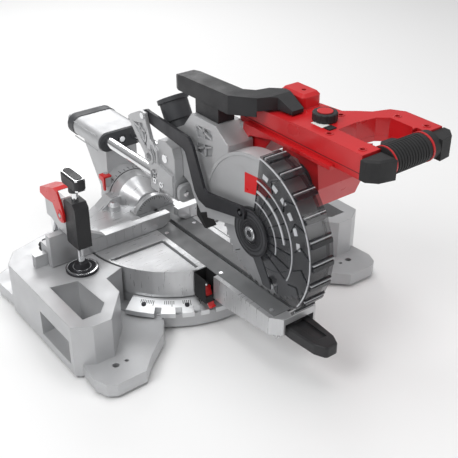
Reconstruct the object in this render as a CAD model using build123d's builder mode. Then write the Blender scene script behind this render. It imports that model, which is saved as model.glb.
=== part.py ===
"""Cordless sliding compound mitre saw with a 190 mm blade, built piece by piece.

Millimetres. +Z is up, +X is to the operator's right and the operator stands on the -Y side.
Everything is drawn from the mitre turntable's vertical axis. The files are written with their
origin on the floor under the middle of the whole saw, MIDDLE_Y in front of that axis.
"""
import os
from math import cos, radians, sin

from build123d import *

os.makedirs("parts", exist_ok=True)

# ---------------------------------------------------------------- driving dimensions
BLADE_R = 95.0            # 190 mm blade
BLADE_PLATE = 1.6         # thickness of the blade's plate
KERF_HALF = 3.5           # half width of the slot between the kerf boards
TABLE_Z = 80.0            # height of the work surface
DRUM_R = 133.0            # radius of the turntable
ARM_HALF = 37.5           # half width of the mitre arm
ARM_FRONT_Y = -281.0      # front face of the mitre arm
PIVOT_Y, PIVOT_Z = -262.0, 60.0      # hinge of the mitre handle in the arm's front
DETENT_Z = 48.0           # hinge of the detent lever, below it
FENCE_Y = -5.0            # working face of the fence
FENCE_LOW_Z = 101.0       # top of the fixed fence
FENCE_TALL_Z = 127.0      # top of the sliding fences
FOOT_Z = 4.0              # height of the rubber feet
PAD_Z = 22.0              # top of the bolt-down pads
HOLE_X = 200.0            # bolt-down holes, half spacing across
HOLE_FRONT_Y = -167.0     # bolt-down holes, front row
HOLE_REAR_Y = 97.0        # bolt-down holes, rear row
BOLT_R = 4.5              # bolt-down hole radius
PILOT_R = 2.6             # screw hole beside each bolt-down hole
PILOT_X = 184.5           # its half spacing across
RING_R = 160.0            # outer radius of the mitre scale ring
RING_Z = 38.0             # top of the mitre scale ring
BEVEL_Z = TABLE_Z         # the bevel axis lies in the table surface, along Y
BEVEL_Y = 115.0           # joint face between turntable and bevel arm
BEVEL_R = 40.0            # radius of the bevel bearing
RAIL_X = 23.0             # half spacing of the slide rails
RAIL_Z = 167.5
RAIL_R = 8.0
HOUSING_Y = 137.0         # front face of the rail housing
HOUSING_BACK_Y = 215.0
CAP_BACK_Y = 234.0        # rear face of the housing's cap
RAIL_FRONT_Y, RAIL_BACK_Y = -64.0, 236.5   # the rails' ends; the end plates lie beyond them
BUSHING_R = 11.0          # outer radius of the rail bushings in the housing
HINGE_Y, HINGE_Z = -38.0, 207.0      # head hinge axis, along X
ARBOR_Y, ARBOR_Z = -214.0, 172.0     # blade axis, along X
UPPER_R = 101.0           # outer radius of the fixed upper guard
GUARD_R = 110.0           # outer radius of the swinging lower guard
GUARD_LEFT_X, GUARD_RIGHT_X = -25.0, 8.5
LINK_REAR = (8.0, 255.0)  # (Y, Z) of the guard link's pivot on the carriage
LINK_FRONT = (-199.0, 196.0)         # (Y, Z) of its pivot on the guard hub
BODY_X = 22.0             # left face of the red body
CLAMP_X, CLAMP_POST_Y, CLAMP_NUT_Y = -166.0, 38.0, -30.0
GAP = 0.5                 # clearance between neighbouring bodies
MIDDLE_Y = -61.5          # middle of the whole saw, front to back


def y_plane(y):
    """Plane across the saw at y: local x is X, local y is Z, extrusions run to the front."""
    return Plane.XZ.offset(-y)


def x_plane(x):
    """Plane along the saw at x: local x is Y, local y is Z, extrusions run to the right."""
    return Plane.YZ.offset(x)


def z_plane(z):
    return Plane.XY.offset(z)


def polar(radius, degrees, centre=(0.0, 0.0)):
    """Point on a circle, measured from the first axis towards the second."""
    return (centre[0] + radius * cos(radians(degrees)), centre[1] + radius * sin(radians(degrees)))


FENCE_BOLTS = (151, 140)  # distances of the fence bolts from the middle
FENCE_BOLT_Y = 26.5

# ================================================================ base
BLOCK = [(-241, -136), (-218, -151), (-192, -151), (-154, -106), (-152, -70), (-120, -58),
         (-120, 36), (-150, 83), (-160, 84), (-222, 66), (-241, 40)]
FRONT_PAD = [(-231, -120), (-235, -176), (-228, -193), (-217, -200), (-175, -199), (-154, -178),
             (-118, -150), (-90, -110), (-150, -60)]
REAR_PAD = [(-236, 30), (-240, 92), (-231, 112), (-214, 120), (-172, 118), (-148, 96),
            (-110, 90), (-130, 20)]

with BuildPart() as base_casting:
    for outline, top in ((BLOCK, TABLE_Z), (FRONT_PAD, PAD_Z), (REAR_PAD, PAD_Z)):
        with BuildSketch(z_plane(FOOT_Z)):
            with BuildLine():
                Polyline(*outline, close=True)
            make_face()
        extrude(amount=top - FOOT_Z)
    # hand opening that leaves the outer bar as a carrying grip
    with BuildSketch(z_plane(FOOT_Z)):
        with BuildLine():
            Polyline((-221, -44), (-185, -52), (-182, -116), (-196, -131), (-221, -131), close=True)
        make_face()
    extrude(amount=TABLE_Z, mode=Mode.SUBTRACT)
    # the bar stands clear of the foot below it
    with Locations((-232, -88, 36)):
        Box(30, 78, 36, mode=Mode.SUBTRACT)
    # lightening pockets in the rear flank and under the side table
    with Locations((-190, 26, 34)):
        Box(46, 52, 64, mode=Mode.SUBTRACT)
    with Locations((-166, -72, 36), (-160, -12, 36)):
        Box(22, 46, 66, mode=Mode.SUBTRACT)
    mirror(about=Plane.YZ)
    with BuildSketch(z_plane(FOOT_Z)):
        Circle(153)
    extrude(amount=20)
    with BuildSketch(z_plane(FOOT_Z)):
        Circle(DRUM_R - 1)
    extrude(amount=RING_Z - FOOT_Z)
    # well for the turntable and the scale ring
    with BuildSketch(z_plane(RING_Z)):
        Circle(DRUM_R + 3.5)
    extrude(amount=60, mode=Mode.SUBTRACT)
    with BuildSketch(z_plane(24)):
        Circle(DRUM_R + 3.5)
        Circle(DRUM_R - 1, mode=Mode.SUBTRACT)
    extrude(amount=20, mode=Mode.SUBTRACT)
    with Locations((0, 0, FOOT_Z)):
        with PolarLocations(92, 8, 22.5):
            Box(52, 46, 44, mode=Mode.SUBTRACT)
    # bolt-down holes and their pilot holes
    for half_x, radius in ((HOLE_X, BOLT_R), (PILOT_X, PILOT_R)):
        for y in (HOLE_FRONT_Y, HOLE_REAR_Y):
            with Locations((-half_x, y, PAD_Z), (half_x, y, PAD_Z)):
                Hole(radius, depth=PAD_Z)
    # bores for the turntable pivot and the clamp post
    with Locations((0, 0, RING_Z)):
        Hole(8.05, depth=RING_Z)
    with Locations((CLAMP_X, CLAMP_POST_Y, TABLE_Z)):
        Hole(6.05, depth=30)
    for side in (-1, 1):
        with Locations(*[(side * x, FENCE_BOLT_Y, TABLE_Z) for x in FENCE_BOLTS]):
            Hole(3.05, depth=8)

with BuildPart() as rubber_feet:
    for x in (-215, 215):
        for y in (-182, 108):
            with BuildSketch():
                with Locations((x, y)):
                    Circle(11)
            extrude(amount=FOOT_Z)

RING_SCREWS = (-50, -27, 27, 50)     # bearings of the ring's screws, from the front
DETENTS = (-42, -31.6, -22.5, -15, 0, 15, 22.5, 31.6, 42)
with BuildPart() as mitre_scale_ring:
    with BuildSketch(Plane.XZ.rotated((0, 0, 212))):
        with BuildLine():
            Polyline((DRUM_R + 1, 24), (RING_R, 24), (RING_R, 31), (DRUM_R + 5, RING_Z),
                     (DRUM_R + 1, RING_Z), close=True)
        make_face()
    revolve(axis=Axis.Z, revolution_arc=116)
    for angle in DETENTS:
        with BuildSketch(z_plane(24)):
            with Locations(Location((*polar(RING_R - 2, angle - 90), 0), angle)):
                Rectangle(9, 16)
        extrude(amount=12, mode=Mode.SUBTRACT)
    with Locations(*[(*polar(147, angle - 90), RING_Z) for angle in RING_SCREWS]):
        Hole(3.3, depth=4)

# ================================================================ fixed fence
with BuildPart() as fence_fixed:
    with BuildSketch(y_plane(7)):
        with BuildLine():
            Polyline((-157.5, TABLE_Z + GAP), (-20, TABLE_Z + GAP), (-7, TABLE_Z + 9),
                     (-7, FENCE_LOW_Z), (-157.5, FENCE_LOW_Z), close=True)
        make_face()
    extrude(amount=7 - FENCE_Y)
    with Locations((-138.5, 11.5, TABLE_Z + 9)):
        Box(153, 9, 18)
    with Locations(*[(-x, 23, TABLE_Z + 3) for x in FENCE_BOLTS]):
        Box(13, 20, 6)
    with Locations(*[(-x, FENCE_BOLT_Y, TABLE_Z + 6) for x in FENCE_BOLTS]):
        Hole(3.05, depth=6)
    mirror(about=Plane.YZ)

SLIDER = [(-157.9, TABLE_Z + 1), (-157.9, FENCE_LOW_Z + GAP), (-114, FENCE_LOW_Z + GAP),
          (-162, FENCE_TALL_Z), (-197, FENCE_TALL_Z), (-197, TABLE_Z + 1)]


def sliding_fence(side):
    """Tall fence plate with a hook over the fixed fence's rear flange; side is -1 left, 1 right."""
    with BuildPart() as fence:
        with BuildSketch(y_plane(6.5)):
            with BuildLine():
                Polyline(*SLIDER, close=True)
            make_face()
        extrude(amount=6.5 - FENCE_Y)
        with Locations((-186, 15.5, 103.5)):
            Box(22, 18, 9)
        with Locations((-186, 20.5, 98)):
            Box(22, 8, 20)
        with BuildSketch(y_plane(25)):
            with Locations((-186, 92)):
                Circle(3.05)
        extrude(amount=9, mode=Mode.SUBTRACT)
        if side > 0:
            mirror(about=Plane.YZ, mode=Mode.REPLACE)
    return fence


sliding_fence_left = sliding_fence(-1)
sliding_fence_right = sliding_fence(1)


def fence_knob(side):
    """Clamping knob on a short screw along Y, behind a sliding fence."""
    with BuildPart() as knob:
        with BuildSketch(y_plane(25.3)):
            with Locations((side * 186, 92)):
                Circle(9.5)
                with PolarLocations(10.5, 6):
                    Circle(2.4, mode=Mode.SUBTRACT)
        extrude(amount=-13)
        with BuildSketch(y_plane(26)):
            with Locations((side * 186, 92)):
                Circle(3)
        extrude(amount=9.3)
    return knob


fence_knob_left = fence_knob(-1)
fence_knob_right = fence_knob(1)

with BuildPart() as base_screws:
    # scale ring screws, fence bolts and the turntable's pivot bolt
    for angle in RING_SCREWS:
        with BuildSketch(z_plane(34)):
            with Locations(polar(147, angle - 90)):
                Circle(3.2)
        extrude(amount=2.6)
    for x in (*FENCE_BOLTS, -FENCE_BOLTS[0], -FENCE_BOLTS[1]):
        with BuildSketch(z_plane(TABLE_Z + 6)):
            with Locations((x, FENCE_BOLT_Y)):
                RegularPolygon(5.2, 6)
        extrude(amount=4.5)
        with BuildSketch(z_plane(TABLE_Z - 6)):
            with Locations((x, FENCE_BOLT_Y)):
                Circle(3)
        extrude(amount=12)
    with BuildSketch(z_plane(FOOT_Z + 1)):
        Circle(8)
    extrude(amount=50)

# ================================================================ turntable and mitre arm
STOP_BOSSES = ((-50, 83), (50, 83))  # bosses of the bevel stop bolts
with BuildPart() as turntable_casting:
    with BuildSketch(z_plane(RING_Z + 1)):
        Circle(DRUM_R)
    extrude(amount=TABLE_Z - RING_Z - 1)
    with BuildSketch(z_plane(45)):
        with BuildLine():
            Polyline((-ARM_HALF - 2, -118), (-ARM_HALF, -160), (-ARM_HALF, -266), (-26, ARM_FRONT_Y),
                     (26, ARM_FRONT_Y), (ARM_HALF, -266), (ARM_HALF, -160), (ARM_HALF + 2, -118),
                     close=True)
        make_face()
    extrude(amount=TABLE_Z - 45)
    # the arm's underside rises towards its front end
    with BuildSketch(x_plane(-60)):
        with BuildLine():
            Polyline((-172, 44), (-290, 57), (-290, 40), (-172, 40), close=True)
        make_face()
    extrude(amount=120, mode=Mode.SUBTRACT)
    # flat rear face for the bevel joint
    with Locations((0, BEVEL_Y + 15, 60)):
        Box(180, 30.8, 60, mode=Mode.SUBTRACT)
    # sunk quarter fields either side of the arm
    for side in (-1, 1):
        with BuildSketch(z_plane(TABLE_Z - 2)):
            with BuildLine():
                corner = (side * 42, -36)
                tip = (side * 42, -(DRUM_R - 5.5) * cos(radians(19)))
                flank = (side * (DRUM_R - 5.5) * cos(radians(16)), -36)
                Line(corner, tip)
                ThreePointArc(tip, polar(DRUM_R - 4, -90 + side * 48), flank)
                Line(flank, corner)
            make_face()
        extrude(amount=6, dir=(0, 0, 1), mode=Mode.SUBTRACT)
        # shadow grooves along the two straight sides of each field
        with Locations((side * 83, -35, TABLE_Z - 2.5)):
            Box(84, 3, 7, mode=Mode.SUBTRACT)
        with Locations((side * 41, -78, TABLE_Z - 2.5)):
            Box(3, 84, 7, mode=Mode.SUBTRACT)
    # seat of the kerf boards and the well under the blade
    with Locations((0, -107, TABLE_Z)):
        Box(62, 322, 8.4, mode=Mode.SUBTRACT)
    with Locations((0, -112, 68)):
        Box(20, 318, 24, mode=Mode.SUBTRACT)
    # recess for the mitre handle in the arm's front
    with Locations((0, -268, 57)):
        Box(46, 40, 27, mode=Mode.SUBTRACT)
    # lugs for the detent lever's pin
    with Locations((-22.5, PIVOT_Y, 50), (22.5, PIVOT_Y, 50)):
        Box(5, 12, 12)
    # pocket for the pointer, in the left root of the arm
    with Locations((-41, -139, 62)):
        Box(20, 26, 42, mode=Mode.SUBTRACT)
    # lightening pockets under the drum
    for x in (-82, 82):
        for y in (-36, 24):
            with Locations((x, y, 52)):
                Box(58, 50, 30, mode=Mode.SUBTRACT)
    # bevel bearing: a cone from a small front face to the joint face
    with BuildSketch(y_plane(BEVEL_Y)):
        with Locations((0, BEVEL_Z)):
            Circle(BEVEL_R)
    with BuildSketch(y_plane(96)):
        with Locations((0, BEVEL_Z)):
            Circle(BEVEL_R - 3)
    loft()
    with BuildSketch(y_plane(96)):
        with Locations((0, BEVEL_Z)):
            Circle(BEVEL_R - 3)
    with BuildSketch(y_plane(69)):
        with Locations((0, BEVEL_Z)):
            Circle(18.5)
    loft()
    # shoulders of the bevel bearing and the stop bolt's boss
    with BuildSketch(y_plane(114)):
        with BuildLine():
            Polyline((-70, TABLE_Z - 2), (-48, TABLE_Z + 14), (48, TABLE_Z + 14), (70, TABLE_Z - 2),
                     close=True)
        make_face()
    extrude(amount=22)
    with BuildSketch(z_plane(TABLE_Z - 1)):
        with Locations(*STOP_BOSSES):
            Circle(9)
    extrude(amount=10)
    with BuildSketch(y_plane(120)):
        with Locations((0, BEVEL_Z)):
            Circle(10.05)
    extrude(amount=60, mode=Mode.SUBTRACT)
    with BuildSketch(y_plane(69)):
        with Locations((0, BEVEL_Z)):
            Circle(17)
    extrude(amount=8, mode=Mode.SUBTRACT)
    with BuildSketch(z_plane(30)):
        Circle(8.05)
    extrude(amount=32, mode=Mode.SUBTRACT)

BOARD_SCREWS_Y = (-255, -150, -20)
with BuildPart() as kerf_boards:
    with BuildSketch(z_plane(76)):
        for side in (-1, 1):
            with Locations((side * (KERF_HALF + 13.7), -107)):
                Rectangle(27.4, 321)
    extrude(amount=TABLE_Z - 76 - 0.1)
    with Locations(*[(x, y, TABLE_Z - 0.1) for x in (-24, 24) for y in BOARD_SCREWS_Y]):
        Hole(3.1, depth=1)

with BuildPart() as turntable_screws:
    for x in (-24, 24):
        for y in BOARD_SCREWS_Y:
            with BuildSketch(z_plane(TABLE_Z - 1.1)):
                with Locations((x, y)):
                    Circle(3)
            extrude(amount=1)
    for place in STOP_BOSSES:
        with BuildSketch(z_plane(TABLE_Z + 9)):
            with Locations(place):
                RegularPolygon(6.5, 6)
        extrude(amount=6)
    with BuildSketch(z_plane(62)):
        with Locations((-42, -139.5)):
            Circle(4)
    extrude(amount=4)

with BuildPart() as mitre_pointer:
    with BuildSketch(x_plane(-46.5)):
        with BuildLine():
            Polyline((-134, 58), (-145, 58), (-150, 46), (-153, 36.8), (-157, 34.8), (-155, 33.4),
                     (-151, 35.4), (-147, 45), (-143.5, 55), (-134, 55), close=True)
        make_face()
    extrude(amount=9)
    with BuildSketch(z_plane(58)):
        with Locations((-42, -139.5)):
            Rectangle(9, 11)
    extrude(amount=4)

SCALE_PLATE_Y = 48.0      # front face of the bevel scale plate, behind the fence's swing
with BuildPart() as bevel_scale_plate:
    # segment of a disc that stands on a flat foot
    with BuildSketch(y_plane(SCALE_PLATE_Y + 8)):
        with Locations((0, 68)):
            Circle(36)
        with Locations((0, TABLE_Z)):
            Rectangle(120, 60, align=(Align.CENTER, Align.MAX), mode=Mode.SUBTRACT)
    extrude(amount=8)
    with Locations((0, SCALE_PLATE_Y + 9, TABLE_Z + 1.5)):
        Box(68, 14, 3)

with BuildPart() as bevel_pivot_shaft:
    with BuildSketch(y_plane(160)):
        with Locations((0, BEVEL_Z)):
            Circle(10)
    extrude(amount=92)
    with BuildSketch(y_plane(69)):
        with Locations((0, BEVEL_Z)):
            Circle(16)
    extrude(amount=2)

# ---------------------------------------------------------------- mitre handle and detent lever
with BuildPart() as mitre_handle:
    with BuildSketch(z_plane(51)):
        with BuildLine():
            Polyline((-18, -254), (-19, -286), (-16, -326), (-9, -341), (9, -341), (16, -326),
                     (19, -286), (18, -254), close=True)
        make_face()
    extrude(amount=15)
    fillet(mitre_handle.edges().filter_by(Axis.Z), 6)
    fillet(mitre_handle.faces().sort_by(Axis.Z)[-1].edges(), 3)
    with Locations((0, -300, 66)):
        Box(16, 44, 5, mode=Mode.SUBTRACT)
    with BuildSketch(x_plane(-22.6)):
        with Locations((PIVOT_Y, PIVOT_Z)):
            Circle(3)
    extrude(amount=45.2)

with BuildPart() as detent_lever:
    with BuildSketch(x_plane(-9)):
        with BuildLine():
            Polyline((PIVOT_Y, 50.4), (-288, 50.4), (-304, 47), (-306, 43), (-300, 42), (-288, 46),
                     (PIVOT_Y, 46), close=True)
        make_face()
    extrude(amount=18)
    with BuildSketch(x_plane(-19.6)):
        with Locations((PIVOT_Y, DETENT_Z)):
            Circle(2.4)
    extrude(amount=39.2)

# ================================================================ bevel arm, rail housing, rails
with BuildPart() as bevel_arm_casting:
    with BuildSketch(y_plane(HOUSING_Y)):
        with Locations((0, BEVEL_Z)):
            Circle(BEVEL_R + 1)
    extrude(amount=HOUSING_Y - BEVEL_Y - GAP)
    # side profile of the arm, wide under the housing and narrow at the bearing
    with BuildSketch(x_plane(-27)):
        with BuildLine():
            Polyline((HOUSING_Y, 50), (150, 46), (162, 58), (163, 82), (212, 156),
                     (HOUSING_Y, 156), close=True)
        make_face()
    extrude(amount=54)
    # recessed back of the arm
    with BuildSketch(x_plane(-19)):
        with BuildLine():
            Polyline((152, 62), (164, 60), (170, 84), (205, 140), (152, 140), close=True)
        make_face()
    extrude(amount=38, mode=Mode.SUBTRACT)
    # rail housing, a flat tube with round flanks
    with BuildSketch(y_plane(HOUSING_BACK_Y)):
        with Locations((0, 165.5)):
            RectangleRounded(78, 31, 14.5)
    extrude(amount=HOUSING_BACK_Y - HOUSING_Y)
    with BuildSketch(y_plane(HOUSING_BACK_Y)):
        with Locations((-RAIL_X, RAIL_Z), (RAIL_X, RAIL_Z)):
            Circle(BUSHING_R)
    extrude(amount=HOUSING_BACK_Y - HOUSING_Y, mode=Mode.SUBTRACT)
    with BuildSketch(y_plane(170)):
        with Locations((0, BEVEL_Z)):
            Circle(10.05)
    extrude(amount=60, mode=Mode.SUBTRACT)
    # lug of the bevel pointer
    with Locations((-38, 124, 110)):
        Box(10, 14, 16)

with BuildPart() as rail_housing_cap:
    with BuildSketch(y_plane(CAP_BACK_Y)):
        with Locations((0, 165.5)):
            RectangleRounded(80, 33, 15.5)
    extrude(amount=CAP_BACK_Y - HOUSING_BACK_Y)
    fillet(rail_housing_cap.faces().sort_by(Axis.Y)[-1].edges(), 3)
    with BuildSketch(y_plane(CAP_BACK_Y)):
        with Locations((-RAIL_X, RAIL_Z), (RAIL_X, RAIL_Z)):
            Circle(RAIL_R + 0.05)
    extrude(amount=60, mode=Mode.SUBTRACT)

with BuildPart() as rail_housing_plate:
    with BuildSketch(y_plane(HOUSING_Y)):
        with Locations((0, 165.5)):
            RectangleRounded(76, 29, 13.5)
        with Locations((-RAIL_X, RAIL_Z), (RAIL_X, RAIL_Z)):
            Circle(RAIL_R + 0.05, mode=Mode.SUBTRACT)
    extrude(amount=4)
    with BuildSketch(y_plane(HOUSING_Y - 2)):
        with Locations((0, 165.5)):
            Circle(7)
    extrude(amount=4, mode=Mode.SUBTRACT)

with BuildPart() as rail_bushings:
    for y in (HOUSING_BACK_Y - 1, HOUSING_Y + 21):
        with BuildSketch(y_plane(y)):
            for x in (-RAIL_X, RAIL_X):
                with Locations((x, RAIL_Z)):
                    Circle(BUSHING_R)
                    Circle(RAIL_R + 0.06, mode=Mode.SUBTRACT)
        extrude(amount=20)

with BuildPart() as bevel_pointer:
    with BuildSketch(z_plane(118)):
        with Locations((-38, 122.6)):
            Rectangle(11, 14.8)
    extrude(amount=2.5)
    with BuildSketch(x_plane(-43.5)):
        with BuildLine():
            Polyline((115.2, 120.5), (130, 120.5), (130, 114), (121, 112), (118.6, 98),
                     (115.2, 98), close=True)
        make_face()
    extrude(amount=-3)

with BuildPart() as bevel_screws:
    with BuildSketch(z_plane(120.5)):
        with Locations((-38, 123)):
            Circle(3.6)
    extrude(amount=2.5)
    with BuildSketch(y_plane(HOUSING_Y - 2)):
        with Locations((0, 165.5)):
            Circle(4.5)
    extrude(amount=3.5)

with BuildPart() as bevel_lock_lever:
    with BuildSketch(y_plane(188)):
        with Locations((0, BEVEL_Z)):
            Circle(13)
    extrude(amount=18)
    with BuildSketch(y_plane(186)):
        with BuildLine():
            Polyline((-9, BEVEL_Z), (-12, BEVEL_Z - 40), (-8, BEVEL_Z - 58), (8, BEVEL_Z - 58),
                     (12, BEVEL_Z - 40), (9, BEVEL_Z), close=True)
        make_face()
    extrude(amount=12)
    fillet(bevel_lock_lever.edges().filter_by(Axis.Y).sort_by(Axis.Z)[:2], 6)
    with BuildSketch(y_plane(171)):
        with Locations((0, BEVEL_Z)):
            Circle(7)
    extrude(amount=9)

# ================================================================ carriage on the rails
LUG_X = 33.0              # outer half width of the hinge lugs
LUG_IN = 20.0             # inner half width
ARM_X = LUG_IN - GAP      # half width of the head's arm between them
FLAG_X = -37.0            # left face of the carriage's side plate
LINK_X = -31.4            # left face of the guard link
FLAG = [(42, 236), (46, 242), (38, 248), (14, 260), (2, 260), (-1, 248), (-10, 226), (-24, 214),
        (-27, 190), (-27, 152), (-6, 152), (-5, 184), (4, 196)]
with BuildPart() as carriage_casting:
    # bearing block around both rails
    with BuildSketch(y_plane(-5)):
        with Locations((0, 168)):
            RectangleRounded(70, 34, 9)
    extrude(amount=57)
    # hinge lugs rise from the block either side of the head's arm
    for x in (-LUG_X, LUG_IN):
        with BuildSketch(x_plane(x)):
            with BuildLine():
                Polyline((-16, 170), (-16, 216), (-24, 230), (-40, 233), (-56, 228), (-61, 214),
                         (-62, 170), close=True)
            make_face()
        extrude(amount=LUG_X - LUG_IN)
    # flag plate with the link's anchor, on the left
    with BuildSketch(x_plane(FLAG_X)):
        with BuildLine():
            Polyline(*FLAG, close=True)
        make_face()
    extrude(amount=LINK_X - FLAG_X - 0.4)
    with BuildSketch(x_plane(FLAG_X)):
        with BuildLine():
            Polyline((-20, 196), (-60, 190), (-60, 160), (-20, 160), close=True)
        make_face()
    extrude(amount=10)
    # lattice pockets in the flag plate
    with BuildSketch(x_plane(FLAG_X)):
        with BuildLine():
            Polyline((34, 238), (8, 244), (-2, 228), (2, 208), close=True)
        make_face()
        with BuildLine():
            Polyline((-10, 219), (-21, 210), (-22, 194), (-17, 196), (-9, 211), close=True)
        make_face()
        with BuildLine():
            Polyline((-7, 180), (-22, 186), (-22, 172), (-8, 164), close=True)
        make_face()
    extrude(amount=2.6, mode=Mode.SUBTRACT)
    with BuildSketch(x_plane(FLAG_X)):
        with Locations((-6, 199)):
            Circle(5.5)
        with Locations(LINK_REAR):
            Circle(3)
    extrude(amount=8, mode=Mode.SUBTRACT)
    with BuildSketch(y_plane(0)):
        with Locations((-RAIL_X, RAIL_Z), (RAIL_X, RAIL_Z)):
            Circle(RAIL_R)
    extrude(amount=70, mode=Mode.SUBTRACT)
    with BuildSketch(x_plane(-40)):
        with Locations((HINGE_Y, HINGE_Z)):
            Circle(6.05)
    extrude(amount=80, mode=Mode.SUBTRACT)

# the rails are clamped in the carriage and run through the housing's bushings
with BuildPart() as slide_rails:
    with BuildSketch(y_plane(RAIL_BACK_Y)):
        with Locations((-RAIL_X, RAIL_Z), (RAIL_X, RAIL_Z)):
            Circle(RAIL_R)
    extrude(amount=RAIL_BACK_Y - RAIL_FRONT_Y)

with BuildPart() as rail_end_plates:
    for y in (RAIL_FRONT_Y, RAIL_BACK_Y + 6.5):
        with BuildSketch(y_plane(y)):
            with Locations((0, 165)):
                RectangleRounded(66, 25, 8)
        extrude(amount=6.5)

with BuildPart() as head_hinge_pin:
    with BuildSketch(x_plane(-LUG_X - 1)):
        with Locations((HINGE_Y, HINGE_Z)):
            Circle(6)
    extrude(amount=2 * LUG_X + 2)
    with BuildSketch(x_plane(LUG_X)):
        with Locations((HINGE_Y, HINGE_Z)):
            RegularPolygon(9, 6)
    extrude(amount=6)

with BuildPart() as return_spring:
    for step in range(4):
        with BuildSketch(x_plane(-ARM_X + 0.6 + 3.1 * step)):
            with Locations((HINGE_Y, HINGE_Z)):
                Circle(15.4)
                Circle(12.6, mode=Mode.SUBTRACT)
        extrude(amount=2.6)

with BuildPart() as carriage_screws:
    for y in (-18, -34):
        with BuildSketch(x_plane(FLAG_X - 1.6)):
            with Locations((y, RAIL_Z)):
                Circle(4.2)
                Circle(2.2, mode=Mode.SUBTRACT)
        extrude(amount=1.6)
    with BuildSketch(y_plane(RAIL_FRONT_Y - 6.5)):
        with Locations((-RAIL_X, 165), (RAIL_X, 165)):
            Circle(4)
    extrude(amount=2)
    # the link's pivot pin
    with BuildSketch(x_plane(FLAG_X - 1.2)):
        with Locations(LINK_REAR):
            Circle(4.4)
    extrude(amount=1.2)
    with BuildSketch(x_plane(FLAG_X)):
        with Locations(LINK_REAR):
            Circle(3)
    extrude(amount=10.4)

with BuildPart() as slide_lock_knob:
    with BuildSketch(x_plane(39.3)):
        with Locations((176, 165.5)):
            Circle(4)
    extrude(amount=6)
    with BuildSketch(x_plane(45)):
        with Locations((176, 165.5)):
            Circle(12)
            with PolarLocations(13, 8):
                Circle(2.6, mode=Mode.SUBTRACT)
    extrude(amount=13)

# ================================================================ head
ARM_BACK = [(-46, 188.5), (-36, 187.5), (-24, 192), (-18.5, 206), (-24, 221), (-38, 226.5),
            (-60, 244), (-100, 262), (-130, 232), (-124, 160), (-100, 148), (-84, 167),
            (-77, 180.5), (-63, 187)]
DUCT = [(-22, 238), (-66, 262), (-84, 284), (-134, 284), (-160, 266), (-160, 214), (-96, 214),
        (-66, 236), (-52, 231), (-38, 222)]
DUST_PLANE = Plane((0, -33.5, 239), x_dir=(1, 0, 0), z_dir=(0, 0.5, 0.866))
SHELL_SCREWS = ((33, -278), (33, -330), (136, -330), (131, -290), (81, -247))

with BuildPart() as head_casting:
    # fixed upper guard: a shell around the rear and top of the blade
    with BuildSketch(x_plane(-20)):
        with Locations((ARBOR_Y, ARBOR_Z)):
            Circle(UPPER_R)
        with BuildLine():
            Polyline((ARBOR_Y, ARBOR_Z), polar(300, 204, (ARBOR_Y, ARBOR_Z)), (-500, -200),
                     (200, -200), polar(300, -14, (ARBOR_Y, ARBOR_Z)), close=True)
        make_face(mode=Mode.SUBTRACT)
        with Locations((ARBOR_Y, ARBOR_Z)):
            Circle(38)
    extrude(amount=25)
    with BuildSketch(x_plane(-17)):
        with Locations((ARBOR_Y, ARBOR_Z)):
            Circle(BLADE_R + 3)
    extrude(amount=19.5, mode=Mode.SUBTRACT)
    # hinge arm and dust duct behind the guard
    for outline in (ARM_BACK, DUCT):
        with BuildSketch(x_plane(-ARM_X)):
            with BuildLine():
                Polyline(*outline, close=True)
            make_face()
            with Locations((ARBOR_Y, ARBOR_Z)):
                Circle(BLADE_R + 3, mode=Mode.SUBTRACT)
        extrude(amount=2 * ARM_X)
    # lattice pockets in the duct's left wall
    with BuildSketch(x_plane(-ARM_X)):
        with BuildLine():
            Polyline((-92, 272), (-126, 274), (-128, 262), (-96, 256), close=True)
        make_face()
        with BuildLine():
            Polyline((-94, 248), (-128, 254), (-126, 240), (-112, 234), (-94, 236), close=True)
        make_face()
    extrude(amount=4, mode=Mode.SUBTRACT)
    # mounting rail for the red body above the lower guard
    with BuildSketch(x_plane(15)):
        with BuildLine():
            Polyline((-120, 250), (-120, 276), (-150, 284), (-300, 284), (-300, 280), (-200, 280),
                     (-158, 272), (-150, 250), close=True)
        make_face()
    extrude(amount=6.5)
    # slot that lets chips into the duct
    with BuildSketch(x_plane(-9)):
        with BuildLine():
            Polyline((-30, 244), (-70, 266), (-120, 250), (-112, 226), (-80, 236), (-48, 236),
                     close=True)
        make_face()
    extrude(amount=18, mode=Mode.SUBTRACT)
    with BuildSketch(DUST_PLANE):
        Circle(17.05)
    extrude(amount=20, mode=Mode.SUBTRACT)
    # hinge bore and the spring's recess beside it
    with BuildSketch(x_plane(-ARM_X)):
        with Locations((HINGE_Y, HINGE_Z)):
            Circle(6.06)
    extrude(amount=2 * ARM_X, mode=Mode.SUBTRACT)
    with BuildSketch(x_plane(-ARM_X)):
        with Locations((HINGE_Y, HINGE_Z)):
            Circle(17)
    extrude(amount=13, mode=Mode.SUBTRACT)
    # bearing ring of the lower guard, and the arbor's hole
    with BuildSketch(x_plane(-26.5)):
        with Locations((ARBOR_Y, ARBOR_Z)):
            Circle(16.95)
    extrude(amount=6.5)
    with BuildSketch(x_plane(-26.5)):
        with Locations((ARBOR_Y, ARBOR_Z)):
            Circle(14.2)
    extrude(amount=40, mode=Mode.SUBTRACT)

with BuildPart() as gear_housing:
    with BuildSketch(x_plane(9.2)):
        with Locations((ARBOR_Y, ARBOR_Z)):
            Circle(40)
        with BuildLine():
            Polyline((-250, 176), (-262, 232), (-230, 262), (-196, 262), (-176, 176), close=True)
        make_face()
    extrude(amount=22)
    with BuildSketch(x_plane(5)):
        with Locations((ARBOR_Y, ARBOR_Z)):
            Circle(36)
            Circle(14.2, mode=Mode.SUBTRACT)
    extrude(amount=4.2)
    with BuildSketch(x_plane(5)):
        with Locations((ARBOR_Y, ARBOR_Z)):
            Circle(10.05)
    extrude(amount=40, mode=Mode.SUBTRACT)

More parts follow.
